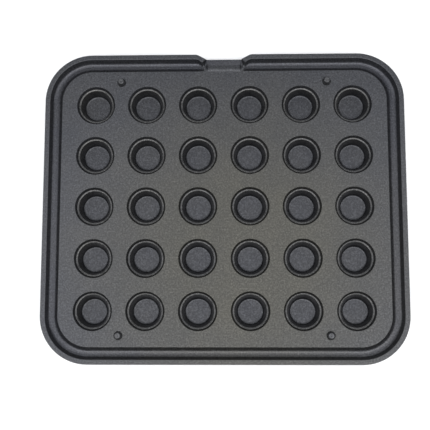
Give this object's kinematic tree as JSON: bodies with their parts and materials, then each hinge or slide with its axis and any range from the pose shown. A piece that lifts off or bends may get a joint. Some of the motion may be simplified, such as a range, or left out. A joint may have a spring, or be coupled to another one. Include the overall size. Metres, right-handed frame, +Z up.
{
  "type": "donut maker cooking plate",
  "caption": "Removable non-stick cooking plate of a mini donut or tartlet maker: flanged rounded plate with overflow groove, hinge notch and a grid of round tapered cups.",
  "frame": {"origin": "on the surface the cups stand on, below the middle of the plate", "axes": "+X along the plate's long side, +Y towards the notched far edge, +Z up out of the cups"},
  "size_m": [0.3486, 0.2996, 0.0208],
  "materials": {
    "plate_coating": "satin non-stick coating on cast aluminium",
    "cup_coating": "satin non-stick coating on aluminium",
    "stud_coating": "satin non-stick coating on aluminium"
  },
  "bodies": {
    "root": {"tray_plate": "plate_coating", "cup_r1_c1": "cup_coating", "cup_r1_c2": "cup_coating", "cup_r1_c3": "cup_coating", "cup_r1_c4": "cup_coating", "cup_r1_c5": "cup_coating", "cup_r1_c6": "cup_coating", "cup_r2_c1": "cup_coating", "cup_r2_c2": "cup_coating", "cup_r2_c3": "cup_coating", "cup_r2_c4": "cup_coating", "cup_r2_c5": "cup_coating", "cup_r2_c6": "cup_coating", "cup_r3_c1": "cup_coating", "cup_r3_c2": "cup_coating", "cup_r3_c3": "cup_coating", "cup_r3_c4": "cup_coating", "cup_r3_c5": "cup_coating", "cup_r3_c6": "cup_coating", "cup_r4_c1": "cup_coating", "cup_r4_c2": "cup_coating", "cup_r4_c3": "cup_coating", "cup_r4_c4": "cup_coating", "cup_r4_c5": "cup_coating", "cup_r4_c6": "cup_coating", "cup_r5_c1": "cup_coating", "cup_r5_c2": "cup_coating", "cup_r5_c3": "cup_coating", "cup_r5_c4": "cup_coating", "cup_r5_c5": "cup_coating", "cup_r5_c6": "cup_coating", "spacer_stud_front_left": "stud_coating", "spacer_stud_front_right": "stud_coating", "spacer_stud_rear_left": "stud_coating", "spacer_stud_rear_right": "stud_coating"}
  },
  "joints": []
}
